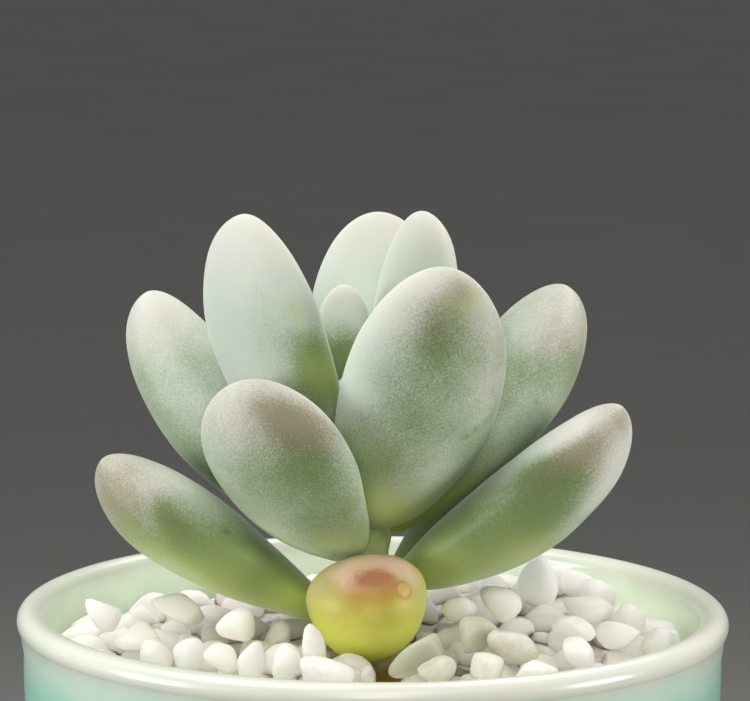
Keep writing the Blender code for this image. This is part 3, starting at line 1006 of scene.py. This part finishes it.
def scattered(chance, spacing, reach):
    """Places thrown at random in a circle and kept where they lie clear of those already there."""
    kept = []
    for _ in range(PEBBLE_TRIES):
        x, y = chance.uniform(-reach, reach), chance.uniform(-reach, reach)
        if math.hypot(x, y) < reach and all(math.dist((x, y), other) > spacing for other in kept):
            kept.append((x, y))
    return kept


def crowded(place, placed):
    """Whether a scattered stone would lie too near to one that was placed."""
    return any((place - other).length < PLACED_CLEAR for other in placed)


def left_open(x, y):
    """Whether a place lies in one of the open spots, or so near that a stone would cover it."""
    return any(math.dist((x / MM, y / MM), spot[:2]) < spot[2] + OPEN_MARGIN for spot in LEFT_OPEN)


# %% One pebble
PEBBLE_FLATS = 9
PEBBLE_FLAT_AT = (0.42, 0.74)
LUMPS, LUMP_TURNS = 0.2, 1.3
# Where the painted shadow of the leaves falls on the stones, and how far it reaches.
LEAF_SHADOW_AT, LEAF_SHADOW_REACH = Vector((6.5, -23.0, 71.0)) * MM, 11 * MM


def add_pebble(shape, tint_and_pit_shadow, leaf_shadow, chance, place, size, turn, taper=0.0):
    """Adds one rounded stone with a few blunt flats, its random tint, and the painted leaf shadow on it.
    """
    made = bmesh.ops.create_icosphere(shape, subdivisions=2, radius=1.0)["verts"]
    flats = [Vector([chance.gauss(0, 1) for _ in range(3)]).normalized() for _ in range(PEBBLE_FLATS)]
    cuts = [(flat, chance.uniform(*PEBBLE_FLAT_AT)) for flat in flats]
    tint = chance.random()
    for corner in made:
        corner.co *= 1 + LUMPS * noise.noise(corner.co * LUMP_TURNS + place / MM)
        for flat, at in cuts:
            corner.co -= flat * max(0.0, corner.co.dot(flat) - at)
        corner.co.yz *= 1 + taper * corner.co.x
        corner.co = turn @ Vector(a * b for a, b in zip(corner.co, size)) + place
        corner[tint_and_pit_shadow] = tint
        # How much painted shadow of the leaves lies on this stone.
        corner[leaf_shadow] = math.exp(-(((place - LEAF_SHADOW_AT).length / LEAF_SHADOW_REACH) ** 2))


# %% Fines
FINES_DEPTH, FINES_GAP = 0.4 * MM, 0.3 * MM
FINES_LUMP, FINES_SIZE = 1.0 * MM, 1.6 * MM
FINES_RING, FINES_STEPS = 1.4 * MM, 72
FINES_TINT = 1.0
FINES_LEAF_GAP = 0.5 * MM
SPOTS_AROUND, SPOTS_ALONG = 24, 30
# The pit's depth, the tint value that marks painted shadow in it, and where along Y that painted shadow
# starts: only spots behind it get it.
PIT_DEPTH, PIT_SHADOW_LEVEL, PIT_SHADOW_FROM = 3.2 * MM, 2.4, -16.0


def leaf_cloud():
    """The skin of every leaf as a search tree, so that the gravel can keep clear of it."""
    turns = [360 / SPOTS_AROUND * k for k in range(SPOTS_AROUND)]
    shares = [k / SPOTS_ALONG for k in range(SPOTS_ALONG + 1)]
    spots = [leaf.spot(turn, t) for leaf in leaves.values() for turn in turns for t in shares]
    tree = KDTree(len(spots))
    for index, spot in enumerate(spots):
        tree.insert(spot, index)
    tree.balance()
    return tree


def fines_profile():
    foot = SOIL_TOP + FINES_GAP
    top_edge, foot_edge = inner_radius(BED_EDGE) - FINES_GAP, inner_radius(foot) - FINES_GAP
    return finer([(0.0, BED_EDGE), (top_edge, BED_EDGE), (foot_edge, foot), (0.0, foot)], FINES_RING)


def add_fines(shape, tint_and_pit_shadow, near_leaf):
    """Adds the chips and dust that fill the bed up to the pebbles, with a pit at each open spot."""
    turn_profile(shape, fines_profile(), FINES_STEPS)
    for corner in shape.verts:
        corner[tint_and_pit_shadow] = FINES_TINT
        if corner.co.z < BED_EDGE - MERGE_WITHIN:
            continue
        x, y = corner.co.x, corner.co.y
        corner.co.z = bed_height(x, y) - FINES_DEPTH + FINES_LUMP * noise.noise(corner.co / FINES_SIZE)
        corner.co.z -= max(0.0, FINES_LEAF_GAP - near_leaf.find(corner.co)[2])
        for spot_x, spot_y, radius in LEFT_OPEN:
            away = math.dist((x / MM, y / MM), (spot_x, spot_y)) / radius
            share = math.exp(-(away**4))
            corner.co.z -= PIT_DEPTH * share
            # Painted shadow in the back of the pit: the tint goes above 1.
            if spot_y > PIT_SHADOW_FROM:
                corner[tint_and_pit_shadow] += (PIT_SHADOW_LEVEL - FINES_TINT) * share


# %% Laying the gravel
PEBBLE_SEED = 12
LAYERS = ((-1.4 * MM, 4.6 * MM), (0.4 * MM, 4.7 * MM))
PEBBLE_HALF_LENGTH = (2.8 * MM, 4.3 * MM)
PEBBLE_NARROWING = 0.8
PEBBLE_FLATTENING = 0.72
PEBBLE_TAPER = 0.2
PEBBLE_LEAN = math.radians(60)
PEBBLE_WALL_GAP, PEBBLE_LEAF_GAP = 3.4 * MM, 0.4 * MM
SHARP_EDGE = math.radians(28)
EDGE_CREASE = 0.12


def crease_corners(shape):
    """Keeps the edges between two flats crisp when Subdivision Surface rounds the stones."""
    crease = shape.edges.layers.float.new("crease_edge")
    shape.normal_update()
    for edge in shape.edges:
        if edge.calc_face_angle(0.0) > SHARP_EDGE:
            edge[crease] = EDGE_CREASE


def make_gravel(finish):
    chance = random.Random(PEBBLE_SEED)
    near_leaf = leaf_cloud()
    shape = bmesh.new()
    tint_and_pit_shadow = shape.verts.layers.float.new("tint_and_pit_shadow")
    leaf_shadow = shape.verts.layers.float.new("leaf_shadow")
    add_fines(shape, tint_and_pit_shadow, near_leaf)
    placed = []
    for x, y, z, *half, lean in PLACED_PEBBLES:
        placed.append(Vector((x, y, z)) * MM)
        turn = Matrix.Rotation(math.radians(lean), 3, "Y")
        add_pebble(shape, tint_and_pit_shadow, leaf_shadow, chance, placed[-1], Vector(half) * MM, turn)
    for lift, spacing in LAYERS:
        for x, y in scattered(chance, spacing, inner_radius(SOIL_TOP) - PEBBLE_WALL_GAP):
            half = chance.uniform(*PEBBLE_HALF_LENGTH)
            size = (half, half * PEBBLE_NARROWING, half * PEBBLE_FLATTENING)
            place = Vector((x, y, bed_height(x, y) + lift))
            if crowded(place, placed) or left_open(x, y):
                continue
            place.z -= max(0.0, size[2] + PEBBLE_LEAF_GAP - near_leaf.find(place)[2])
            lean = Matrix.Rotation(chance.uniform(-PEBBLE_LEAN, PEBBLE_LEAN), 3, "X")
            turn = Matrix.Rotation(chance.uniform(0, math.tau), 3, "Z") @ lean
            taper = chance.uniform(-PEBBLE_TAPER, PEBBLE_TAPER)
            add_pebble(shape, tint_and_pit_shadow, leaf_shadow, chance, place, size, turn, taper)
    crease_corners(shape)
    made = piece_from(shape, "gravel", finish)
    rounding = made.modifiers.new("rounding", "SUBSURF")
    rounding.levels = rounding.render_levels = 1


# %% [markdown]
# ## White stone
#
# White marble chips look soft because light goes into them, and full subsurface scattering does that.
# Blue is let travel furthest, which keeps the gaps between the stones warm. Each stone has its own
# tint, from white to a faint cream, with finer clouds and a shallow bump. Stones near the old leaf
# are painted darker and yellower: a painted shadow of the leaves, tinted by their colour. A tint above
# 1 marks the fines at the back of the pit by that leaf, which are painted olive-brown as painted shadow.

# %% Stone material
STONE_WHITE = (0.975, 0.95, 0.885)
STONE_CREAM = (0.97, 0.915, 0.81)
STONE_GREY = (0.91, 0.88, 0.80)
# Painted shadow of the leaves on the stones beside the old leaf, tinted by their colour.
LEAF_SHADOW_STONE = (0.29, 0.28, 0.165)
# Painted shadow in the pit in front of the old leaf, olive-brown from the leaf's colour.
PIT_SHADOW_TONE = (0.36, 0.28, 0.05)


def stone_finish():
    look = Finish("white_pebble")
    tree = look.tree
    tint_and_pit_shadow = painted(tree, "tint_and_pit_shadow")
    veins = clouds(tree, 2.2 * MM, 4.0, 0.6)
    veined = between(veins, 0.5, 0.75, 0.0, 0.35)
    # Painted shadow of the leaves, darker and yellower, on the stones beside the old leaf.
    leaf_shadow = between(painted(tree, "leaf_shadow") + (veins - 0.5) * 0.5, 0.1, 0.9, 0.0, 0.85)
    # Painted shadow in the pit, where the tint is above 1.
    pit_shadow = between(tint_and_pit_shadow, 1.0, 2.0)
    colour = blend(tint_and_pit_shadow, STONE_WHITE, STONE_CREAM)
    for mask, tone in ((veined, STONE_GREY), (leaf_shadow, LEAF_SHADOW_STONE), (pit_shadow, PIT_SHADOW_TONE)):
        colour = blend(mask, colour, tone)
    look.set(
        Base_Color=colour,
        Roughness=between(veins, 0.3, 0.7, 0.45, 0.65),
        Normal=bump(clouds(tree, 0.5 * MM, 3.0), 0.05 * MM, 0.5),
    )
    look.set(Subsurface_Weight=1.0, Subsurface_Scale=8 * MM, Subsurface_Radius=(0.7, 0.85, 1.0))
    return look


make_gravel(stone_finish())

# %% [markdown]
# ## Floor and light
#
# The floor is a large plain sheet of mid-grey, which fills the picture behind the plant. Six softboxes
# are aimed at the plant: one overhead and a little to the left, one high behind it that gives the
# leaves their bright edges, a small low one on each side, and a high and a low one in front that open
# the shadows. The room adds an even grey light.

# %% Floor
FLOOR_SIZE = 12.0
FLOOR_TONE = (0.26, 0.26, 0.25)
FLOOR_TONE_LOW = (0.236, 0.236, 0.227)


def floor_finish():
    look = Finish("floor")
    tone = clouds(look.tree, 60 * MM, 4.0)
    look.set(
        Base_Color=blend(tone, FLOOR_TONE_LOW, FLOOR_TONE),
        Roughness=between(tone, 0.3, 0.7, 0.7, 0.85),
    )
    return look


def make_floor():
    shape = bmesh.new()
    bmesh.ops.create_grid(shape, x_segments=1, y_segments=1, size=FLOOR_SIZE / 2)
    mesh = bpy.data.meshes.new("floor")
    shape.to_mesh(mesh)
    shape.free()
    mesh.materials.append(floor_finish().material)
    made = bpy.data.objects.new("floor", mesh)
    bpy.context.scene.collection.objects.link(made)


make_floor()

# %% Lights
PLANT_MIDDLE = Vector((0.0, 0.0, 92 * MM))
ROOM_LIGHT = (0.235, 0.232, 0.223)
SOFTBOXES = (
    ("overhead", (-0.20, 0.0, 0.56), 0.40, 0.28, (1.0, 0.99, 0.97), 50),
    ("high back", (0.10, 0.26, 0.50), 0.35, 0.18, (1.0, 0.99, 0.97), 50),
    ("left", (-0.38, -0.14, 0.10), 0.16, 0.12, (0.98, 1.0, 1.0), 60),
    ("right", (0.38, -0.12, 0.10), 0.16, 0.105, (1.0, 0.99, 0.97), 60),
    ("high front", (0.05, -0.42, 0.50), 0.45, 0.11, (1.0, 0.99, 0.98), 40),
    ("low front", (0.0, -0.62, 0.28), 0.5, 0.175, (1.0, 0.99, 0.97), 30),
)


def softbox(name, place, size, watts, tone, spread):
    """A square area light at a place, turned to the plant. Its spread is in degrees."""
    data = bpy.data.lights.new(name, "AREA")
    data.size = size
    data.energy = watts
    data.color = tone
    data.spread = math.radians(spread)
    made = bpy.data.objects.new(name, data)
    made.location = place
    made.rotation_euler = (PLANT_MIDDLE - Vector(place)).to_track_quat("-Z", "Y").to_euler()
    bpy.context.scene.collection.objects.link(made)


def light_room():
    world = bpy.data.worlds.new("room")
    world.use_nodes = True
    world.node_tree.nodes["Background"].inputs["Color"].default_value = (*ROOM_LIGHT, 1.0)
    bpy.context.scene.world = world
    for box in SOFTBOXES:
        softbox(*box)


light_room()
print("softboxes:", len(SOFTBOXES), "watts in all:", round(sum(box[3] for box in SOFTBOXES), 3))
bpy.context.scene.view_settings.view_transform = "Standard"
